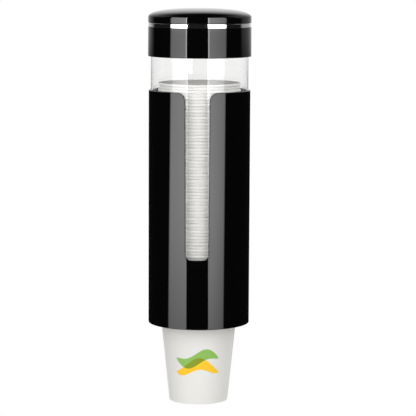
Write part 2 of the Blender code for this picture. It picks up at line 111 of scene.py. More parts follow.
class Wire:
    """A socket of a node tree. Arithmetic on it adds Math nodes to that tree."""

    def __init__(self, tree, socket=None):
        self.tree = tree
        self.socket = socket

    def plug(self, value, socket):
        if isinstance(value, Wire):
            self.tree.links.new(value.socket, socket)
        else:
            socket.default_value = value

    def node(self, kind, settings, sockets, out=0):
        """Any node: its settings come first, then its sockets' values or links."""
        made = self.tree.nodes.new(kind)
        for name, value in settings.items():
            setattr(made, name, value)
        for name, value in sockets.items():
            self.plug(value, made.inputs[name])
        return Wire(self.tree, made.outputs[out])

    def maths(self, operation, *others):
        return self.node("ShaderNodeMath", {"operation": operation},
                         dict(enumerate((self,) + others)))

    def at_least(self, other):
        return self.maths("MAXIMUM", other)

    def along(self, *axes):
        """A vector's parts along the named axes."""
        return [self.node("ShaderNodeSeparateXYZ", {}, {"Vector": self}, axis) for axis in axes]

    def on_object(self):
        """Where a point lies on its object, in metres."""
        return self.node("ShaderNodeTexCoord", {}, {}, "Object")

    def ray(self, kind):
        """1 for a kind of ray, such as Camera, and 0 for the others."""
        return self.node("ShaderNodeLightPath", {}, {}, f"Is {kind} Ray")

    def shader(self):
        """The Principled shader of this tree."""
        return Wire(self.tree, self.tree.nodes["Principled BSDF"].outputs["BSDF"])

    def show(self):
        """Makes this shader the surface of its material."""
        self.plug(self, self.tree.nodes["Material Output"].inputs["Surface"])

    def ramp(self, stops):
        """A grey that follows straight lines between (place, grey) stops."""
        made = self.node("ShaderNodeValToRGB", {}, {"Fac": self})
        bend = made.socket.node.color_ramp
        bend.elements.remove(bend.elements[0])
        for number, (place, grey) in enumerate(stops):
            stop = bend.elements[0] if number == 0 else bend.elements.new(place)
            stop.position, stop.color = place, (grey, grey, grey, 1)
        return made

    def rise(self, low, high):
        """0 below low, 1 above high and smooth between them; falls where low is the greater."""
        return self.node("ShaderNodeMapRange", {"interpolation_type": "SMOOTHSTEP"},
                         {"Value": self, "From Min": low, "From Max": high})

    def __add__(self, other):
        return self.maths("ADD", other)

    __radd__ = __add__

    def __sub__(self, other):
        return self.maths("SUBTRACT", other)

    def __rsub__(self, other):
        return self * -1 + other

    def __mul__(self, other):
        return self.maths("MULTIPLY", other)

    __rmul__ = __mul__

    def __truediv__(self, other):
        return self.maths("DIVIDE", other)


def link_object(name, data):
    obj = bpy.data.objects.new(name, data)
    bpy.context.scene.collection.objects.link(obj)
    return obj


def place_camera():
    data = bpy.data.cameras.new("camera")
    data.lens = CAMERA_LENS
    camera = link_object("camera", data)
    flat = math.cos(CAMERA_LOOK_DOWN)
    back = Vector((math.sin(CAMERA_TURN) * flat, -math.cos(CAMERA_TURN) * flat,
                   math.sin(CAMERA_LOOK_DOWN)))
    facing = (-back).to_track_quat("-Z", "Y")
    aim = Vector((AXIS_X, AXIS_Y, sleeve_low.z + AIM_ABOVE_SLEEVE_BOTTOM))
    aim += facing @ Vector((AIM_RIGHT_OF_AXIS, 0, 0))
    camera.location = aim + back * CAMERA_DISTANCE
    camera.rotation_mode = "QUATERNION"
    camera.rotation_quaternion = facing @ Quaternion((0, 0, 1), CAMERA_ROLL)
    bpy.context.scene.camera = camera


def light_room():
    """The world: white to the camera and through plastic, a bright panel behind the dispenser in
    the gloss, and a soft fill from the front, the back and above on what is matt."""
    world = bpy.data.worlds.new("studio")
    bpy.context.scene.world = world
    world.use_nodes = True
    start = Wire(world.node_tree)
    across, away, up = start.node("ShaderNodeTexCoord", {}, {}, "Generated").along("X", "Y", "Z")
    turn = across / (across * across + away * away).maths("SQRT")
    narrowed = turn * (1 - BACKDROP_WIDENING * up.at_least(0))
    lowered = up - BACKDROP_SIDE_LIFT * turn.maths("ABSOLUTE")
    across_share = (narrowed + 1) / 2
    backdrop = (up.rise(BACKDROP_LOWEST, BACKDROP_FULL) * away.rise(*BACKDROP_BEHIND)
                * lowered.rise(BACKDROP_TOP, BACKDROP_HIGH)
                * across_share.ramp(BACKDROP_STOPS))
    in_gloss = backdrop.at_least(ROOM_IN_GLOSS)
    ahead = (away * -1).at_least(0).maths("POWER", FRONT_LIGHT_FOCUS)
    band = up.rise(FRONT_LIGHT_LOWEST, FRONT_LIGHT_LOW) * up.rise(FRONT_LIGHT_HIGHEST,
                                                                  FRONT_LIGHT_HIGH)
    fill = (ROOM_LIGHT + FRONT_LIGHT * ahead * band
            + BACKDROP_LIGHT * away.at_least(0).maths("POWER", BACKDROP_LIGHT_FOCUS)
            + CEILING_LIGHT * up.rise(CEILING_LOW, CEILING_HIGH))
    seen = start.ray("Camera").at_least(start.ray("Transmission"))
    glossy = start.ray("Glossy")
    others = in_gloss * glossy + fill * (1 - glossy)
    background = world.node_tree.nodes["Background"]
    background.inputs["Color"].default_value = (1, 1, 1, 1)
    start.plug(seen + (1 - seen) * others, background.inputs["Strength"])


def emitter(name, strength):
    """A lamp's material: strength is worked out from the first wire of its tree."""
    material = bpy.data.materials.new(name)
    material.use_nodes = True
    tree = material.node_tree
    tree.nodes.remove(tree.nodes["Principled BSDF"])
    start = Wire(tree)
    start.node("ShaderNodeEmission", {}, {"Strength": strength(start)}).show()
    return material


def softbox(name, headings, falloff):
    """An upright panel of two parts. At each height stand the headings of its inner and outer
    edge, in degrees from the camera's; the falloff is how much it loses towards the outside."""
    middle = math.radians((headings[1][0] + headings[1][1]) / 2) + CAMERA_TURN
    towards = Vector((math.sin(middle), -math.cos(middle), 0))
    sideways = Vector((math.cos(middle), math.sin(middle), 0))
    corners, places = [], []
    for height, edges in zip(SOFTBOX_HEIGHTS, headings):
        for share, heading in enumerate(edges):
            off = math.radians(heading) + CAMERA_TURN - middle
            place = (towards + sideways * math.tan(off)) * SOFTBOX_STAND_OFF
            corners.append(place + Vector((AXIS_X, AXIS_Y, height)))
            places.append((share, height))
    mesh = bpy.data.meshes.new(name)
    mesh.from_pydata(corners, [], [(0, 1, 3, 2), (2, 3, 5, 4)])
    uv = mesh.uv_layers.new(name="panel")
    for loop, place in zip(mesh.loops, uv.data):
        place.uv = places[loop.vertex_index]
    panel = link_object(name, mesh)

    def strength(wire):
        outwards, height = wire.node("ShaderNodeTexCoord", {}, {}, "UV").along("X", "Y")
        inside_rim = outwards.rise(1, SOFTBOX_RIM_SHARE)
        rim = SOFTBOX_RIM_LEVEL + (1 - SOFTBOX_RIM_LEVEL) * inside_rim
        even = (SOFTBOX_INNER_LEVEL - falloff * outwards) * rim
        low, high, lost = SOFTBOX_FOOT_FADE
        level = 1 - lost * height.rise(high, low)
        low, high, lost = SOFTBOX_DIP
        level = level - lost * height.rise(low, high)
        low, high, won = SOFTBOX_PEAK
        level = level + won * height.rise(low, high)
        line = outwards.rise(SOFTBOX_LINE_SHARE * (1 + SOFTBOX_LINE_BLUR),
                             SOFTBOX_LINE_SHARE * (1 - SOFTBOX_LINE_BLUR))
        line = line * height.rise(*SOFTBOX_LINE_FOOT)
        return ((SOFTBOX_GLOW * even * level + SOFTBOX_LINE_GLOW * line)
                * (1 - (1 - SOFTBOX_IN_DIFFUSE) * wire.ray("Diffuse")))

    mesh.materials.append(emitter(name, strength))
    panel.visible_camera = False


def principled(name, sockets):
    """A material from one Principled shader; sockets gives its values from the first wire."""
    material = bpy.data.materials.new(name)
    material.use_nodes = True
    shader = material.node_tree.nodes["Principled BSDF"]
    start = Wire(material.node_tree)
    for socket, value in sockets(start).items():
        start.plug(value, shader.inputs[socket])
    return material


def floor_sockets(start):
    return {"Base Color": FLOOR_COLOUR, "Roughness": FLOOR_ROUGHNESS}


def lay_floor():
    """A disc that fades to white at its rim, and that is seen from above only."""
    mesh = bpy.data.meshes.new("floor")
    edit = bmesh.new()
    bmesh.ops.create_circle(edit, cap_ends=True, radius=FLOOR_RADIUS, segments=FLOOR_SEGMENTS,
                            matrix=Matrix.Translation((AXIS_X, AXIS_Y, -FLOOR_DROP)))
    edit.to_mesh(mesh)
    edit.free()
    floor = link_object("floor", mesh)
    material = principled("pale floor", floor_sockets)
    start = Wire(material.node_tree)
    out_from_centre = start.node("ShaderNodeVectorMath", {"operation": "DISTANCE"}, {
        0: start.on_object(), 1: (AXIS_X, AXIS_Y, -FLOOR_DROP)}, "Value")
    fade = out_from_centre.rise(FLOOR_FADE_START, FLOOR_RADIUS)
    white = start.node("ShaderNodeEmission", {}, {"Strength": 1.0})
    surface = start.node("ShaderNodeMixShader", {}, {
        0: fade * start.ray("Camera"), 1: start.shader(), 2: white})
    underside = start.node("ShaderNodeNewGeometry", {}, {}, "Backfacing")
    clear = start.node("ShaderNodeBsdfTransparent", {}, {})
    start.node("ShaderNodeMixShader", {}, {0: underside, 1: surface, 2: clear}).show()
    mesh.materials.append(material)


bpy.context.scene.view_settings.view_transform = "Standard"
place_camera()
light_room()
softbox("softbox_left", LEFT_SOFTBOX, LEFT_FALLOFF)
softbox("softbox_right", RIGHT_SOFTBOX, RIGHT_FALLOFF)
lay_floor()


# The adhesive pad: a die-cut sheet of white double-sided foam tape, one millimetre thick, with
# rounded corners. It sticks the bracket to the wall, and its cut edge shows the foam's cells.

PAD_CORNER, PAD_CORNER_STEPS = 0.003, 10
PAD_EDGE_ROUND, PAD_EDGE_SEGMENTS = 0.00035, 4
FOAM_COLOUR, FOAM_SHADE = (0.72, 0.72, 0.70, 1), (0.56, 0.56, 0.54, 1)
FOAM_CELLS, FOAM_MOTTLE = 2600, (160, 4)
FOAM_CELL_SHADE, FOAM_MOTTLE_SHADE = 0.9, 0.4
FOAM_CELL_DEPTH = 0.0002
FOAM_ROUGHNESS = 0.85
SHARP_ANGLE = math.radians(35)
SAME_PLACE = 0.00001


def arc(centre, radius, start, end, steps):
    """Points along an arc, both ends included, with the angles in degrees."""
    turns = [math.radians(start + (end - start) * i / steps) for i in range(steps + 1)]
    return [(centre[0] + radius * math.cos(turn), centre[1] + radius * math.sin(turn))
            for turn in turns]


def baked(obj):
    """Turns the object and its modifiers into one plain mesh."""
    graph = bpy.context.evaluated_depsgraph_get()
    mesh = bpy.data.meshes.new_from_object(obj.evaluated_get(graph), depsgraph=graph)
    obj.modifiers.clear()
    obj.data = mesh
    mesh.name = obj.name
    return obj


def rounded_edges(obj, width, segments, angle=SHARP_ANGLE):
    """Rounds the sharp edges and leaves the flat faces shading flat."""
    bevel = obj.modifiers.new("Round", "BEVEL")
    bevel.width, bevel.segments = width, segments
    bevel.limit_method, bevel.angle_limit = "ANGLE", angle
    bevel.use_clamp_overlap = False
    bevel.miter_outer = "MITER_ARC"
    even = obj.modifiers.new("Even", "WEIGHTED_NORMAL")
    even.keep_sharp = True
    obj.data.shade_smooth()
    return baked(obj)


def merged(obj):
    """Joins the points that lie in one place, and turns the faces outwards."""
    edit = bmesh.new()
    edit.from_mesh(obj.data)
    bmesh.ops.remove_doubles(edit, verts=edit.verts, dist=SAME_PLACE)
    bmesh.ops.recalc_face_normals(edit, faces=edit.faces)
    edit.to_mesh(obj.data)
    edit.free()
    return obj


def extruded(name, outline, depth):
    """A flat outline in XY, made half its depth to each side."""
    curve = bpy.data.curves.new(name, "CURVE")
    curve.dimensions, curve.fill_mode, curve.extrude = "2D", "BOTH", depth / 2
    spline = curve.splines.new("POLY")
    spline.points.add(len(outline) - 1)
    for point, (x, y) in zip(spline.points, outline):
        point.co = (x, y, 0, 1)
    spline.use_cyclic_u = True
    guide = link_object(name + "_outline", curve)
    graph = bpy.context.evaluated_depsgraph_get()
    mesh = bpy.data.meshes.new_from_object(guide.evaluated_get(graph), depsgraph=graph)
    bpy.data.objects.remove(guide, do_unlink=True)
    mesh.materials.clear()
    return merged(link_object(name, mesh))


def noise(place, grains, detail):
    """A noise between 0 and 1: its grains to the metre, and its levels of finer detail."""
    return place.node("ShaderNodeTexNoise", {}, {"Vector": place, "Scale": grains,
                                                 "Detail": detail})


def relief(height, depth):
    """A normal that raises the surface by depth, in metres, where height is 1."""
    return height.node("ShaderNodeBump", {}, {"Height": height, "Distance": depth}, "Normal")


def colours(factor, first, second):
    """Blends two colours by a wire."""
    return factor.node("ShaderNodeMix", {"data_type": "RGBA"}, {0: factor, 6: first, 7: second},
                       2)


def fit(piece, body, slot, material, *nodes):
    """Finishes a piece: its material where it has none yet, its body, and the nodes that it
    stands for, which are hidden. The slot is not used."""
    if material is not None:
        piece.data.materials.clear()
        piece.data.materials.append(material)
    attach(piece, body)
    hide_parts(*nodes)


def foam_sockets(start):
    place = start.on_object()
    cells = start.node("ShaderNodeTexVoronoi", {}, {"Vector": place, "Scale": FOAM_CELLS},
                       "Distance")
    shade = noise(place, *FOAM_MOTTLE) * FOAM_MOTTLE_SHADE + cells * FOAM_CELL_SHADE
    return {"Base Color": colours(shade, FOAM_COLOUR, FOAM_SHADE),
            "Roughness": FOAM_ROUGHNESS, "Normal": relief(cells, FOAM_CELL_DEPTH)}


pad_low, pad_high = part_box("adhesive_pad")
pad_size = pad_high - pad_low
pad_outline = []
for side, rise, turn in ((1, 1, 0), (-1, 1, 90), (-1, -1, 180), (1, -1, 270)):
    corner = (side * (pad_size.x / 2 - PAD_CORNER), rise * (pad_size.z / 2 - PAD_CORNER))
    pad_outline += arc(corner, PAD_CORNER, turn, turn + 90, PAD_CORNER_STEPS)
pad = extruded("foam_pad", pad_outline, pad_size.y)
pad.data.transform(Matrix.Translation((pad_low + pad_high) / 2)
                   @ Matrix.Rotation(math.radians(90), 4, "X"))
rounded_edges(pad, PAD_EDGE_ROUND, PAD_EDGE_SEGMENTS)
fit(pad, "wall_mount", "adhesive_foam", principled("foam tape", foam_sockets), "adhesive_pad")


# The wall bracket and the hanger: two injection-moulded parts in black with a fine spark
# texture. The bracket's plate carries two hooked rails and a stop, and has two countersunk
# holes. The hanger is bonded to the sleeve's back, and its flange slides down into the rails.

BRACKET_ROUND, MOULDED_SEGMENTS = 0.0004, 3
SATIN_BLACK = (0.018, 0.018, 0.019, 1)
SATIN_WORN = (0.030, 0.030, 0.031, 1)
SPARKS, SPARK_DEPTH = (6000, 1), 0.00004
RUBBED_PATCHES, RUBBED_EDGE, RUBBED_SHADE = (140, 5), (0.45, 0.75), 0.5
SATIN_ROUGHNESS, SPARK_ROUGHNESS, RUBBED_SMOOTHNESS = 0.42, 0.1, 0.08
FLAT_ANGLE = math.radians(0.5)
CUT_SNAP = 0.000001


def satin_sockets(start):
    place = start.on_object()
    spark = noise(place, *SPARKS)
    rubbed = noise(place, *RUBBED_PATCHES).rise(*RUBBED_EDGE)
    roughness = SATIN_ROUGHNESS + SPARK_ROUGHNESS * spark - RUBBED_SMOOTHNESS * rubbed
    return {"Base Color": colours(rubbed * RUBBED_SHADE, SATIN_BLACK, SATIN_WORN),
            "Roughness": roughness, "Normal": relief(spark, SPARK_DEPTH)}


SATIN = principled("satin black plastic", satin_sockets)


def softened(node, name, width, angle=SHARP_ANGLE, cuts=()):
    """A copy of a node with its flat faces made whole and its edges rounded. Each cut is a
    point and a normal: a face with a hole in it is split there, so that it stays a plain one."""
    piece = merged(link_object(name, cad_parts[node].data.copy()))
    edit = bmesh.new()
    edit.from_mesh(piece.data)
    for point, normal in cuts:
        cut = bmesh.ops.bisect_plane(edit, geom=edit.verts[:] + edit.edges[:] + edit.faces[:],
                                     dist=CUT_SNAP, plane_co=point, plane_no=normal)
        for part in cut["geom_cut"]:
            if isinstance(part, bmesh.types.BMEdge):
                part.seam = True
    bmesh.ops.dissolve_limit(edit, angle_limit=FLAT_ANGLE, verts=edit.verts, edges=edit.edges,
                             delimit={"SEAM"})
    edit.to_mesh(piece.data)
    edit.free()
    return rounded_edges(piece, width, MOULDED_SEGMENTS, angle)


MIDDLE_CUT = (((AXIS_X, 0, 0), (1, 0, 0)),)
fit(softened("wall_bracket", "bracket", BRACKET_ROUND, cuts=MIDDLE_CUT), "wall_mount",
    "satin_black", SATIN, "wall_bracket")
fit(softened("hanger", "hanger_saddle", BRACKET_ROUND, cuts=MIDDLE_CUT), "housing",
    "satin_black", SATIN, "hanger")


# The sleeve: a gloss black acrylic tube, cut open in front by a long slot that is open at its
# top, with rounded shoulders and a round-cornered sill. The cut edges are polished round. It is
# made flat, as a sheet with the slot in its outline, then rounded and rolled into a tube.

SLEEVE_WALL = 0.0017
SLEEVE_ROUND, SLEEVE_ROUND_SEGMENTS, SLEEVE_EDGE_ANGLE = 0.0005, 5, math.radians(60)
SLEEVE_STRIPS = 180
SLEEVE_TRIM, SEAM_GAP = 0.004, 0.000002
SLEEVE_TOP_DROP = 0.0009
SLOT_SILL_HEIGHT = 0.0651
SLOT_TOP_WIDTH = 0.0231
SLOT_BOTTOM_WIDTH = 0.0215
SLOT_SHOULDER_RADIUS, SLOT_SHOULDER_STEPS = 0.008, 16
SLOT_CORNER_RADIUS, SLOT_CORNER_STEPS = 0.0052, 10
GLOSS_BLACK = (0.0009, 0.0009, 0.00095, 1)
GLOSS_IOR = 1.6
GLOSS_ROUGHNESS, HANDLED_ROUGHNESS, HANDLED_PATCHES = 0.03, 0.03, (70, 5)
PEEL_WAVES, PEEL_DEPTH = (500, 1), 0.0000006


def gloss_sockets(start):
    place = start.on_object()
    handled = noise(place, *HANDLED_PATCHES)
    return {"Base Color": GLOSS_BLACK, "IOR": GLOSS_IOR,
            "Roughness": GLOSS_ROUGHNESS + HANDLED_ROUGHNESS * handled,
            "Normal": relief(noise(place, *PEEL_WAVES), PEEL_DEPTH)}


GLOSS = principled("gloss black plastic", gloss_sockets)


def rolled_sleeve():
    """The flat sheet is made in strips, so that it can bend, and a little too long. Its rounded
    ends are cut off after that, and the two cuts meet at the back."""
    radius = (sleeve_high.x - sleeve_low.x) / 2
    half_turn = math.pi * radius
    low, high = sleeve_low.z, sleeve_high.z - SLEEVE_TOP_DROP
    sill = low + SLOT_SILL_HEIGHT
    bottom = radius * math.asin(SLOT_BOTTOM_WIDTH / 2 / radius)
    top = radius * math.asin(SLOT_TOP_WIDTH / 2 / radius)
    corner, shoulder = SLOT_CORNER_RADIUS, SLOT_SHOULDER_RADIUS
    right = arc((bottom - corner, sill + corner), corner, -90, 0, SLOT_CORNER_STEPS)
    right += arc((top + shoulder, high - shoulder), shoulder, 180, 90, SLOT_SHOULDER_STEPS)
    end = half_turn + SLEEVE_TRIM
    outline = ([(-end, low), (end, low), (end, high)] + right[::-1]
               + [(-x, z) for x, z in right] + [(-end, high)])
    mesh = bpy.data.meshes.new("sleeve_shell")
    edit = bmesh.new()
    edit.faces.new([edit.verts.new((x, 0, z)) for x, z in outline])
    strip = 2 * half_turn / SLEEVE_STRIPS
    for number in range(SLEEVE_STRIPS + 1):
        bmesh.ops.bisect_plane(edit, geom=edit.verts[:] + edit.edges[:] + edit.faces[:],
                               plane_co=(-half_turn + number * strip, 0, 0), plane_no=(1, 0, 0))
    edit.to_mesh(mesh)
    edit.free()
    sheet = link_object("sleeve_shell", mesh)
    wall = sheet.modifiers.new("Wall", "SOLIDIFY")
    wall.thickness, wall.offset = SLEEVE_WALL, -1
    bevel = sheet.modifiers.new("Round", "BEVEL")
    bevel.width, bevel.segments = SLEEVE_ROUND, SLEEVE_ROUND_SEGMENTS
    bevel.limit_method, bevel.angle_limit = "ANGLE", SLEEVE_EDGE_ANGLE
    bevel.use_clamp_overlap = False
    baked(sheet)
    roll = bmesh.new()
    roll.from_mesh(sheet.data)
    for side in (-1, 1):
        bmesh.ops.bisect_plane(roll, geom=roll.verts[:] + roll.edges[:] + roll.faces[:],
                               dist=CUT_SNAP, plane_co=(side * half_turn, 0, 0),
                               plane_no=(side, 0, 0), clear_outer=True)
    for vert in roll.verts:
        turn, inwards = vert.co.x / radius, vert.co.y
        out = radius - inwards
        vert.co = (AXIS_X + out * math.sin(turn), AXIS_Y - out * math.cos(turn), vert.co.z)
    bmesh.ops.remove_doubles(roll, verts=roll.verts, dist=SEAM_GAP)
    bmesh.ops.recalc_face_normals(roll, faces=roll.faces)
    roll.to_mesh(sheet.data)
    roll.free()
    sheet.data.shade_smooth()
    sheet.modifiers.new("Even", "WEIGHTED_NORMAL")
    return baked(sheet)


fit(rolled_sleeve(), "housing", "gloss_black", GLOSS, "sleeve")


# The clear tube: an extruded acrylic tube that stands on the claw ring and holds the stack of
# cups. Its ends are sawn and flame-polished, and handling has left it faintly uneven.

TUBE_WALL = 0.0015
TUBE_END_ROUND = 0.0003
TUBE_SEGMENTS = 192
TUBE_IOR = 1.49
TUBE_TINT, TUBE_SHADOW = (0.958, 0.958, 0.955, 1), (0.99, 0.99, 0.99, 1)
TUBE_ROUGHNESS, TUBE_PATCHES = 0.01, (60, 4)
FILLET_STEPS = 5
ON_AXIS = 0.0000001


def filleted(corners, closed=True, steps=FILLET_STEPS):
    """A profile's points: each corner is a radius, a height and the fillet that rounds it."""
    points = []
    for i, (radius, height, fillet) in enumerate(corners):
        here = Vector((radius, height))
        if not fillet or (not closed and i in (0, len(corners) - 1)):
            points.append(tuple(here))
            continue
        before = (Vector(corners[i - 1][:2]) - here).normalized()
        after = (Vector(corners[(i + 1) % len(corners)][:2]) - here).normalized()
        half = before.angle(after) / 2
        centre = here + (before + after).normalized() * (fillet / math.sin(half))
        reach = fillet / math.tan(half)
        spokes = [here + before * reach - centre, here + after * reach - centre]
        start, end = (math.atan2(spoke.y, spoke.x) for spoke in spokes)
        sweep = (end - start + math.pi) % (2 * math.pi) - math.pi
        points += arc(centre, fillet, math.degrees(start), math.degrees(start + sweep), steps)
    return points


def turned_mesh(name, profile, segments, centre=(0, 0)):
    """A body of revolution about an upright line; points on the line itself become poles."""
    verts, rings = [], []
    for radius, height in profile:
        count = segments if radius > ON_AXIS else 1
        rings.append(range(len(verts), len(verts) + count))
        for i in range(count):
            angle = 2 * math.pi * i / segments
            verts.append((centre[0] + radius * math.cos(angle),
                          centre[1] + radius * math.sin(angle), height))
    faces = []
    for ring, following in zip(rings, rings[1:] + rings[:1]):
        if len(ring) == 1 and len(following) == 1:
            continue
        for i in range(segments):
            corners = [ring[i % len(ring)], ring[(i + 1) % len(ring)],
                       following[(i + 1) % len(following)], following[i % len(following)]]
            faces.append(list(dict.fromkeys(corners)))
    mesh = bpy.data.meshes.new(name)
    mesh.from_pydata(verts, [], faces)
    edit = bmesh.new()
    edit.from_mesh(mesh)
    bmesh.ops.recalc_face_normals(edit, faces=edit.faces)
    edit.to_mesh(mesh)
    edit.free()
    mesh.shade_smooth()
    return mesh


def turned(name, profile, segments):
    """A piece turned about the dispenser's axis, with normals that keep its flats flat."""
    piece = link_object(name, turned_mesh(name, profile, segments, (AXIS_X, AXIS_Y)))
    piece.modifiers.new("Even", "WEIGHTED_NORMAL")
    return baked(piece)


def tube_sockets(start):
    handled = noise(start.on_object(), *TUBE_PATCHES)
    return {"Base Color": TUBE_TINT, "IOR": TUBE_IOR, "Transmission Weight": 1.0,
            "Roughness": TUBE_ROUGHNESS * (1 + handled)}


def clear_plastic():
    """Bends what is seen through it, and lets the lamps' light straight through to the cups."""
    material = principled("clear plastic", tube_sockets)
    start = Wire(material.node_tree)
    lamp_ray = start.ray("Shadow").at_least(start.ray("Diffuse"))
    passed = start.node("ShaderNodeBsdfTransparent", {}, {"Color": TUBE_SHADOW})
    start.node("ShaderNodeMixShader", {}, {0: lamp_ray, 1: start.shader(), 2: passed}).show()
    return material


tube_low, tube_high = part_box("clear_tube")
TUBE_RADIUS = (tube_high.x - tube_low.x) / 2
tube_bore = TUBE_RADIUS - TUBE_WALL
fit(turned("tube", filleted([
    (tube_bore, tube_high.z, TUBE_END_ROUND), (TUBE_RADIUS, tube_high.z, TUBE_END_ROUND),
    (TUBE_RADIUS, tube_low.z, TUBE_END_ROUND), (tube_bore, tube_low.z, TUBE_END_ROUND)]),
    TUBE_SEGMENTS), "housing", "clear_plastic", clear_plastic(), "clear_tube")


# The claw ring and the clamp ring: satin black mouldings at the tube's bottom end. The claw ring
# has six pockets for the claws and a spigot inside the tube. The clamp ring closes the pockets.

RING_ROUND = 0.0002
RING_CUT_TURNS = [math.radians(turn) for turn in (15, 45, 75, 105, 135, 165)]

ring_cuts = [((AXIS_X, AXIS_Y, 0), (math.sin(turn), -math.cos(turn), 0))
             for turn in RING_CUT_TURNS]
fit(softened("claw_ring", "outlet_ring", RING_ROUND, cuts=ring_cuts), "housing", "satin_black",
    SATIN, "claw_ring")
fit(softened("clamp_ring", "outlet_clamp", RING_ROUND, cuts=ring_cuts), "housing",
    "satin_black", SATIN, "clamp_ring")


# The clamp screws: six zinc-plated pan-head screws with a cross recess, driven up through the
# clamp ring into the claw ring. No two recesses stop at the same angle.

SCREW_HEAD_RADIUS = 0.0018
SCREW_HEAD_HEIGHT = 0.0014
SCREW_EDGE = 0.0005
SCREW_SEGMENTS = 48
SCREW_SMOOTH_ANGLE = math.radians(40)
SCREW_CIRCLE, SCREW_FIRST_TURN = 0.04305, math.radians(-60)
SCREW_COUNT = 6
RECESS_LENGTH, RECESS_WIDTH, RECESS_DEPTH = 0.0021, 0.0005, 0.0008
RECESS_SEED = 4
ZINC = (0.62, 0.62, 0.60, 1)
ZINC_GRAIN, ZINC_GRAIN_DEPTH = (3500, 3), 0.00001
ZINC_ROUGHNESS, ZINC_GRAIN_ROUGHNESS = 0.24, 0.16


def screw_sockets(start):
    grain = noise(start.on_object(), *ZINC_GRAIN)
    return {"Base Color": ZINC, "Metallic": 1.0,
            "Roughness": ZINC_ROUGHNESS + ZINC_GRAIN_ROUGHNESS * grain,
            "Normal": relief(grain, ZINC_GRAIN_DEPTH)}


def screw_mesh():
    """One screw head, with the clamp ring's face at height zero and the head below it."""
    head, edge, height = SCREW_HEAD_RADIUS, SCREW_EDGE, SCREW_HEAD_HEIGHT
    profile = filleted([(0, 0, 0), (head, 0, 0), (head, -height, edge), (0, -height, 0)],
                       closed=False)
    body = link_object("screw_head", turned_mesh("screw_head", profile, SCREW_SEGMENTS))
    for turn in (0, 90):
        edit = bmesh.new()
        place = (Matrix.Rotation(math.radians(turn), 4, "Z")
                 @ Matrix.Translation((0, 0, -height))
                 @ Matrix.Diagonal((RECESS_LENGTH, RECESS_WIDTH, 2 * RECESS_DEPTH, 1)))
        bmesh.ops.create_cube(edit, size=1, matrix=place)
        mesh = bpy.data.meshes.new("recess")
        edit.to_mesh(mesh)
        edit.free()
        cutter = link_object("recess", mesh)
        step = body.modifiers.new("Recess", "BOOLEAN")
        step.operation, step.object = "DIFFERENCE", cutter
        baked(body)
        bpy.data.objects.remove(cutter, do_unlink=True)
    merged(body)
    body.data.shade_smooth()
    body.data.set_sharp_from_angle(angle=SCREW_SMOOTH_ANGLE)
    return body


def tree_with(name, inputs):
    """A new Geometry Nodes tree with named inputs; returns its first wire and their wires."""
    tree = bpy.data.node_groups.new(name, "GeometryNodeTree")
    tree.interface.new_socket("Geometry", in_out="INPUT", socket_type="NodeSocketGeometry")
    for socket, kind in inputs.items():
        tree.interface.new_socket(socket, in_out="INPUT", socket_type=kind)
    tree.interface.new_socket("Geometry", in_out="OUTPUT", socket_type="NodeSocketGeometry")
    entry = tree.nodes.new("NodeGroupInput")
    wires = {socket.name: Wire(tree, socket) for socket in entry.outputs if socket.name}
    return Wire(tree), wires


def spun_copies(start, given, points):
    """Ends a tree: copies of the given shape on the points, each turned by its own random angle,
    with their material."""
    chance = start.node("FunctionNodeRandomValue", {"data_type": "FLOAT"}, {
        2: 0.0, 3: 2 * math.pi, "Seed": given["Seed"]}, 1)
    spin = start.node("ShaderNodeCombineXYZ", {}, {"Z": chance})
    rotation = start.node("FunctionNodeEulerToRotation", {}, {"Euler": spin})
    copies = start.node("GeometryNodeInstanceOnPoints", {}, {
        "Points": points, "Instance": given["Geometry"], "Rotation": rotation})
    real = start.node("GeometryNodeRealizeInstances", {}, {"Geometry": copies})
    coloured = start.node("GeometryNodeSetMaterial", {}, {"Geometry": real,
                                                          "Material": given["Finish"]})
    leave = start.tree.nodes.new("NodeGroupOutput")
    start.plug(coloured, leave.inputs["Geometry"])
    return start.tree


def grown(obj, tree, values):
    """Runs a tree on the object and keeps the plain mesh that comes out."""
    modifier = obj.modifiers.new(tree.name, "NODES")
    modifier.node_group = tree
    for item in tree.interface.items_tree:
        if item.in_out == "INPUT" and item.name in values:
            modifier[item.identifier] = values[item.name]
    return baked(obj)


def ring_of_copies():
    """Copies of the given shape on a circle."""
    start, given = tree_with("Ring of copies", {
        "Count": "NodeSocketInt", "Radius": "NodeSocketFloat", "First turn": "NodeSocketFloat",
        "Centre": "NodeSocketVector", "Seed": "NodeSocketInt", "Finish": "NodeSocketMaterial"})
    circle = start.node("GeometryNodeMeshCircle", {}, {"Vertices": given["Count"],
                                                       "Radius": given["Radius"]})
    turn = start.node("ShaderNodeCombineXYZ", {}, {"Z": given["First turn"]})
    placed = start.node("GeometryNodeTransform", {}, {
        "Geometry": circle, "Translation": given["Centre"], "Rotation": turn})
    return spun_copies(start, given, placed)


screw_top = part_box("clamp_ring")[0].z
screws = grown(screw_mesh(), ring_of_copies(), {
    "Count": SCREW_COUNT, "Radius": SCREW_CIRCLE, "First turn": SCREW_FIRST_TURN,
    "Centre": (AXIS_X, AXIS_Y, screw_top), "Seed": RECESS_SEED,
    "Finish": principled("zinc plated steel", screw_sockets)})
screws.name = "clamp_screws"
fit(screws, "housing", "screw_steel", None,
    *[f"clamp_screw_{number}" for number in range(1, SCREW_COUNT + 1)])


# The claws: six tongues of dark silicone rubber. Each has a round bead, held in a pocket of the
# claw ring, and a thin tongue with a rounded tip that the lowest cup's rim rests on.

CLAW_COUNT = 6
CLAW_ROUND, CLAW_SHARP_ANGLE = 0.0002, math.radians(50)
SILICONE = (0.085, 0.085, 0.09, 1)
SILICONE_DUSTY = (0.13, 0.13, 0.135, 1)
DUST, DUST_EDGE, DUST_DEPTH = (900, 6), (0.4, 0.8), 0.00003
SILICONE_ROUGHNESS, DUST_ROUGHNESS = 0.5, 0.2


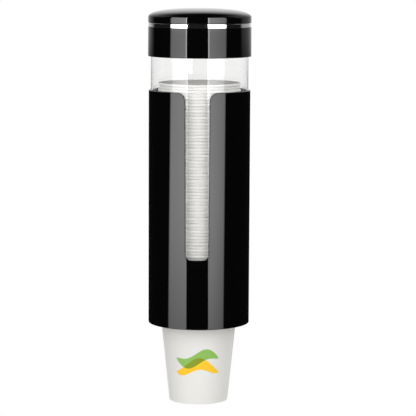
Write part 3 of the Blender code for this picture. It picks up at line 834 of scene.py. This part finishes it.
def silicone_sockets(start):
    dust = noise(start.on_object(), *DUST)
    return {"Base Color": colours(dust.rise(*DUST_EDGE), SILICONE, SILICONE_DUSTY),
            "Roughness": SILICONE_ROUGHNESS + DUST_ROUGHNESS * dust,
            "Normal": relief(dust, DUST_DEPTH)}


SILICONE_RUBBER = principled("silicone rubber", silicone_sockets)
for number in range(1, CLAW_COUNT + 1):
    claw = f"claw_{number}"
    fit(softened(claw, f"rubber_{claw}", CLAW_ROUND, CLAW_SHARP_ANGLE), claw, "silicone",
        SILICONE_RUBBER, claw)


# The paper cups: white board, coated inside, rolled round a mandrel and glued down one side
# seam, with a recessed bottom disc and a rim curled outwards. A band swells below the curl and
# keeps the nested cups apart, so that each cup shows two lines in the slot.

CUP_WALL = 0.0003
CUP_BASE_RADIUS = 0.0275
CUP_FOOT_THICKNESS = 0.0009
CUP_FLOOR_HEIGHT = 0.00556
CUP_FLOOR_ROUND, CUP_FLOOR_STEPS = 0.0008, 3
CUP_FOOT_ROUND, CUP_UNDER_ROUND, CUP_FOOT_STEPS = 0.0002, 0.0004, 2
CUP_ROLL_WIDTH = 0.0022
CUP_ROLL_START, CUP_ROLL_END, CUP_ROLL_STEPS = 180, -140, 11
CUP_SEAM_WIDTH = 0.007
CUP_SEAM_STEP = 0.00014
CUP_SEGMENTS = 72
CUP_BAND_STEPS = 7
CUP_BAND_GAP = 0.00025
CUP_BAND_SWELL = 0.0011
NESTED_ROLL_HEIGHT, NESTED_WALL_STEPS = 0.0026, 2
STACK_SEED = 11
PAPER, PAPER_SHADE = (0.93, 0.922, 0.905, 1), (0.895, 0.886, 0.865, 1)
PAPER_ROUGHNESS = 0.5
FIBRES, FIBRE_SHADE, FIBRE_ROUGHNESS, FIBRE_DEPTH = (2600, 5), 0.35, 0.12, 0.00002
CLOUDS, CLOUD_SHADE = (220, 4), 0.5

cup_low, cup_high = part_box("cup_1")
CUP_HEIGHT = cup_high.z - cup_low.z
RIM_RADIUS = (cup_high.x - cup_low.x) / 2
CUP_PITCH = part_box("cup_2")[0].z - cup_low.z
NESTED = [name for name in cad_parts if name.startswith("cup_") and name != "cup_1"]


def paper_parts(start, light, shade):
    """The board's colour, roughness and normal, as wires; its fibres go from light to shade."""
    place = start.on_object()
    fibre = noise(place, *FIBRES)
    colour = colours(fibre * FIBRE_SHADE + noise(place, *CLOUDS) * CLOUD_SHADE, light, shade)
    return colour, PAPER_ROUGHNESS + FIBRE_ROUGHNESS * fibre, relief(fibre, FIBRE_DEPTH)


def paper_sockets(start):
    colour, roughness, normal = paper_parts(start, PAPER, PAPER_SHADE)
    return {"Base Color": colour, "Roughness": roughness, "Normal": normal}


def cup_radius(height, roll_height):
    """The radius of a cup's outside at a height, for a curl of the given height above it."""
    slope = (RIM_RADIUS - CUP_ROLL_WIDTH - CUP_BASE_RADIUS) / (CUP_HEIGHT - roll_height)
    return CUP_BASE_RADIUS + slope * height


def cup_profile(wall_steps, roll_height):
    """Half the section of a cup, from the middle of its floor out and round to the start."""
    def outside(height):
        return cup_radius(height, roll_height)

    top = CUP_HEIGHT - roll_height
    middle = CUP_HEIGHT - roll_height / 2
    inner = outside(middle) - CUP_WALL
    half = (RIM_RADIUS - inner) / 2
    roll = [(inner + half + half * x, middle + roll_height / 2 * z)
            for x, z in arc((0, 0), 1, CUP_ROLL_START, CUP_ROLL_END, CUP_ROLL_STEPS)]
    climb = [CUP_FLOOR_HEIGHT + (middle - CUP_FLOOR_HEIGHT) * i / wall_steps
             for i in range(1, wall_steps)]
    walls_in = [(outside(z) - CUP_WALL, z) for z in climb]
    band_low = CUP_HEIGHT - CUP_PITCH + CUP_BAND_GAP
    band = []
    for step in range(CUP_BAND_STEPS + 1):
        height = top + (band_low - top) * step / CUP_BAND_STEPS
        out = CUP_BAND_SWELL * math.sin(math.pi * step / CUP_BAND_STEPS)
        band.append((outside(height) + out, height))
    walls_out = band + [(outside(z), z) for z in reversed(climb) if z < band_low - CUP_BAND_GAP]
    foot = CUP_BASE_RADIUS - CUP_FOOT_THICKNESS
    under = CUP_FLOOR_HEIGHT - 2 * CUP_WALL
    floor = filleted([
        (0, CUP_FLOOR_HEIGHT, 0),
        (outside(CUP_FLOOR_HEIGHT) - CUP_WALL, CUP_FLOOR_HEIGHT, CUP_FLOOR_ROUND),
        (outside(middle) - CUP_WALL, middle, 0)], closed=False, steps=CUP_FLOOR_STEPS)[:-1]
    base = filleted([
        (outside(top), top, 0), (CUP_BASE_RADIUS, 0, CUP_FOOT_ROUND), (foot, 0, CUP_FOOT_ROUND),
        (foot, under, CUP_UNDER_ROUND), (0, under, 0)], closed=False, steps=CUP_FOOT_STEPS)[1:]
    return floor + walls_in + roll + walls_out + base


def cup_mesh(name, segments, wall_steps, seam_turn, roll_height, centre=(0, 0)):
    """One cup, with the seam as a raised strip where the board overlaps itself."""
    mesh = turned_mesh(name, cup_profile(wall_steps, roll_height), segments, centre)
    for vert in mesh.vertices:
        x, y, height = vert.co.x - centre[0], vert.co.y - centre[1], vert.co.z
        radius = math.hypot(x, y)
        inside = radius < cup_radius(height, roll_height) - CUP_WALL / 2
        if inside or height > CUP_HEIGHT - roll_height:
            continue
        off = (math.atan2(y, x) - seam_turn + math.pi) % (2 * math.pi) - math.pi
        if abs(off) * radius < CUP_SEAM_WIDTH / 2:
            grow = (radius + CUP_SEAM_STEP) / radius
            vert.co = (centre[0] + x * grow, centre[1] + y * grow, height)
    return mesh


def nested_stack():
    """Copies of the given cup, one pitch above another."""
    start, given = tree_with("Nested stack", {
        "Count": "NodeSocketInt", "Foot": "NodeSocketVector", "Pitch": "NodeSocketFloat",
        "Seed": "NodeSocketInt", "Finish": "NodeSocketMaterial"})
    step = start.node("ShaderNodeCombineXYZ", {}, {"Z": given["Pitch"]})
    line = start.node("GeometryNodeMeshLine", {}, {
        "Count": given["Count"], "Start Location": given["Foot"], "Offset": step})
    return spun_copies(start, given, line)


one_cup = cup_mesh("nested_cups", CUP_SEGMENTS, NESTED_WALL_STEPS, 0, NESTED_ROLL_HEIGHT)
stack = grown(link_object("nested_cups", one_cup), nested_stack(), {
    "Count": len(NESTED), "Foot": (AXIS_X, AXIS_Y, cup_low.z + CUP_PITCH),
    "Pitch": CUP_PITCH, "Seed": STACK_SEED, "Finish": principled("cup paper", paper_sockets)})
fit(stack, "cup_column", "cup_paper", None, *NESTED)


# The lowest cup: the same paper cup, whose curl the claws have pulled a little longer. Its
# outside carries a plain two-colour wave in green and yellow, printed flat on the white board,
# in front and a little below the middle.

LOWEST_ROLL_HEIGHT, LOWEST_WALL_STEPS = 0.003, 12
LOWEST_SEAM_TURN = math.radians(70)
# The lowest cup's board is painted shade: the same paper as the nested cups, made darker against
# the stronger light that falls on the lowest cup below the sleeve.
SHADE_PAINTED_BOARD, SHADE_PAINTED_BOARD_FIBRES = (0.80, 0.79, 0.762, 1), (0.75, 0.74, 0.708, 1)
PRINT_CENTRE_HEIGHT = 0.0395
PRINT_HALF_WIDTH = 0.0212
WAVE_LENGTH = 0.0424
WAVE_SWING = 0.0046
WAVE_HALF, WAVE_TAPER = 0.0058, 0.7
GREEN_SHIFT, GREEN_LAG = 0.0046, 0.0
YELLOW_SHIFT, YELLOW_LAG = -0.0046, 1.2
PRINT_GREEN = (0.262, 0.503, 0.098, 1)
PRINT_YELLOW = (0.98, 0.578, 0.013, 1)
PRINT_OLIVE = (0.238, 0.31, 0.008, 1)
PRINT_EDGE = 0.00012
INK_SMOOTHNESS = 0.1


def printed_sockets(start):
    # The board under the print is the darker, painted-shade copy of the cup paper.
    colour, roughness, normal = paper_parts(start, SHADE_PAINTED_BOARD, SHADE_PAINTED_BOARD_FIBRES)
    across, up = start.node("ShaderNodeUVMap", {"uv_map": "wrap"}, {}).along("X", "Y")
    share = across / PRINT_HALF_WIDTH
    thick = (1 - share * share).at_least(0).maths("POWER", WAVE_TAPER) * WAVE_HALF
    masks = []
    for shift, lag in ((GREEN_SHIFT, GREEN_LAG), (YELLOW_SHIFT, YELLOW_LAG)):
        middle = ((across * (2 * math.pi / WAVE_LENGTH) + lag).maths("SINE") * WAVE_SWING
                  + (PRINT_CENTRE_HEIGHT + shift))
        gap = thick - (up - middle).maths("ABSOLUTE")
        masks.append(gap.rise(0.0, PRINT_EDGE))
    green, yellow = masks
    painted = colours(green, colour, PRINT_GREEN)
    painted = colours(yellow, painted, PRINT_YELLOW)
    painted = colours(green * yellow, painted, PRINT_OLIVE)
    ink = green.at_least(yellow)
    return {"Base Color": painted, "Roughness": roughness - INK_SMOOTHNESS * ink,
            "Normal": normal}


def wrapped(mesh):
    """A UV map in metres: round the cup from its front, and up from its base."""
    uv = mesh.uv_layers.new(name="wrap")
    for loop, place in zip(mesh.loops, uv.data):
        x, y, z = mesh.vertices[loop.vertex_index].co
        turn = math.atan2(x - AXIS_X, AXIS_Y - y)
        place.uv = (turn * math.hypot(x - AXIS_X, y - AXIS_Y), z - cup_low.z)
    return mesh


lowest_mesh = cup_mesh("printed_cup", 2 * CUP_SEGMENTS, LOWEST_WALL_STEPS, LOWEST_SEAM_TURN,
                       LOWEST_ROLL_HEIGHT, (AXIS_X, AXIS_Y))
lowest_mesh.transform(Matrix.Translation((0, 0, cup_low.z)))
fit(link_object("printed_cup", wrapped(lowest_mesh)), "bottom_cup", "printed_paper",
    principled("printed paper", printed_sockets), "cup_1")


# The lid's skirt: the gloss black lower band of the lid, which slips over the tube. It is
# moulded with a rounded lower lip, and snaps on the spigot of the cap with the ring between.

LID_LAND_WIDTH = 0.0026
LID_FIT_GAP = 0.00035
LID_SPIGOT_WALL = 0.00075
LID_SPIGOT_DEPTH = 0.0158
LID_SPIGOT_GAP = 0.0003
LID_LIP_ROUND, LID_FINE_ROUND = 0.0005, 0.0001
LID_RING_LIP_HEIGHT, LID_RING_LIP_WALL = 0.0008, 0.0002
LID_SEGMENTS = 192

skirt_low, skirt_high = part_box("lid_skirt")
LID_RADIUS = (skirt_high.x - skirt_low.x) / 2
LID_BORE = TUBE_RADIUS + LID_FIT_GAP
spigot_radius = LID_BORE + LID_SPIGOT_WALL
step_radius = spigot_radius + LID_SPIGOT_GAP
spigot_end = skirt_high.z - LID_SPIGOT_DEPTH
fit(turned("skirt", filleted([
    (step_radius, skirt_high.z, 0), (LID_RADIUS - LID_RING_LIP_WALL, skirt_high.z, 0),
    (LID_RADIUS - LID_RING_LIP_WALL, skirt_high.z + LID_RING_LIP_HEIGHT, 0),
    (LID_RADIUS, skirt_high.z + LID_RING_LIP_HEIGHT, LID_FINE_ROUND),
    (LID_RADIUS, skirt_low.z, LID_LIP_ROUND), (LID_BORE, skirt_low.z, LID_LIP_ROUND),
    (LID_BORE, spigot_end - LID_SPIGOT_GAP, LID_FINE_ROUND),
    (step_radius, spigot_end - LID_SPIGOT_GAP, LID_FINE_ROUND)]), LID_SEGMENTS),
    "lid", "gloss_black", GLOSS, "lid_skirt")


# The trim ring: a moulded ring with a bright chrome plating, trapped in the groove between the
# skirt and the cap. Its outer edges are rounded, and the plating waves very slightly.

TRIM_ROUND = 0.0004
CHROME = (0.94, 0.94, 0.93, 1)
CHROME_RIPPLES, CHROME_RIPPLE_DEPTH = (260, 2), 0.000004
CHROME_PATCHES, CHROME_ROUGHNESS, CHROME_PATCH_ROUGHNESS = (1200, 4), 0.03, 0.05


def chrome_sockets(start):
    place = start.on_object()
    handled = noise(place, *CHROME_PATCHES)
    return {"Base Color": CHROME, "Metallic": 1.0,
            "Roughness": CHROME_ROUGHNESS + CHROME_PATCH_ROUGHNESS * handled,
            "Normal": relief(noise(place, *CHROME_RIPPLES), CHROME_RIPPLE_DEPTH)}


trim_low, trim_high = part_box("lid_trim_ring")
TRIM_RADIUS = (trim_high.x - trim_low.x) / 2
fit(turned("trim_ring", filleted([
    (step_radius, trim_high.z, LID_FINE_ROUND), (TRIM_RADIUS, trim_high.z, TRIM_ROUND),
    (TRIM_RADIUS, trim_low.z, TRIM_ROUND), (step_radius, trim_low.z, LID_FINE_ROUND)]),
    LID_SEGMENTS), "lid", "plated_trim", principled("chrome plating", chrome_sockets),
    "lid_trim_ring")


# The cap: the gloss black top of the lid, a short wall that turns by a soft shoulder into a
# shallow dome. A spigot below it holds the ring and the skirt, and a land rests on the tube.

CAP_WALL_HEIGHT = 0.0046
CAP_DOME_RISE = 0.0085
CAP_DOME_FLATNESS = 2.3
CAP_SHOULDER_FULLNESS = 0.42
CAP_ROOF = 0.0024
CAP_EDGE_ROUND, CAP_SPIGOT_ROUND, CAP_LAND_ROUND = 0.0003, 0.0002, 0.0003
CAP_STEPS, CAP_INSIDE_STEPS = 48, 12
CAP_LAND_GAP = 0.0003


def dome(radius):
    """The height of the cap's outside above its wall, at a distance from the axis."""
    share = 1 - (radius / LID_RADIUS) ** CAP_DOME_FLATNESS
    return CAP_DOME_RISE * max(share, 0) ** CAP_SHOULDER_FULLNESS


def cap_profile():
    cap_bottom = trim_high.z + LID_SPIGOT_GAP
    wall_top = cap_bottom + CAP_WALL_HEIGHT
    spread = [math.sin(math.pi / 2 * i / CAP_STEPS) ** (2 / CAP_DOME_FLATNESS)
              for i in range(CAP_STEPS + 1)]
    outer = [(LID_RADIUS * share, wall_top + dome(LID_RADIUS * share)) for share in spread]
    land = LID_BORE - LID_LAND_WIDTH
    inside = [land * (1 - i / CAP_INSIDE_STEPS) for i in range(CAP_INSIDE_STEPS + 1)]
    inner = [(radius, wall_top + dome(radius) - CAP_ROOF) for radius in inside]
    below = filleted([
        outer[-1] + (0,), (LID_RADIUS, cap_bottom, CAP_EDGE_ROUND),
        (spigot_radius, cap_bottom, 0), (spigot_radius, spigot_end, CAP_SPIGOT_ROUND),
        (LID_BORE, spigot_end, CAP_SPIGOT_ROUND), (LID_BORE, tube_high.z + CAP_LAND_GAP, 0),
        (land, tube_high.z + CAP_LAND_GAP, CAP_LAND_ROUND), inner[0] + (0,)], closed=False)
    return outer + below[1:-1] + inner


fit(turned("cap", cap_profile(), LID_SEGMENTS), "lid", "gloss_black", GLOSS, "lid_cap")
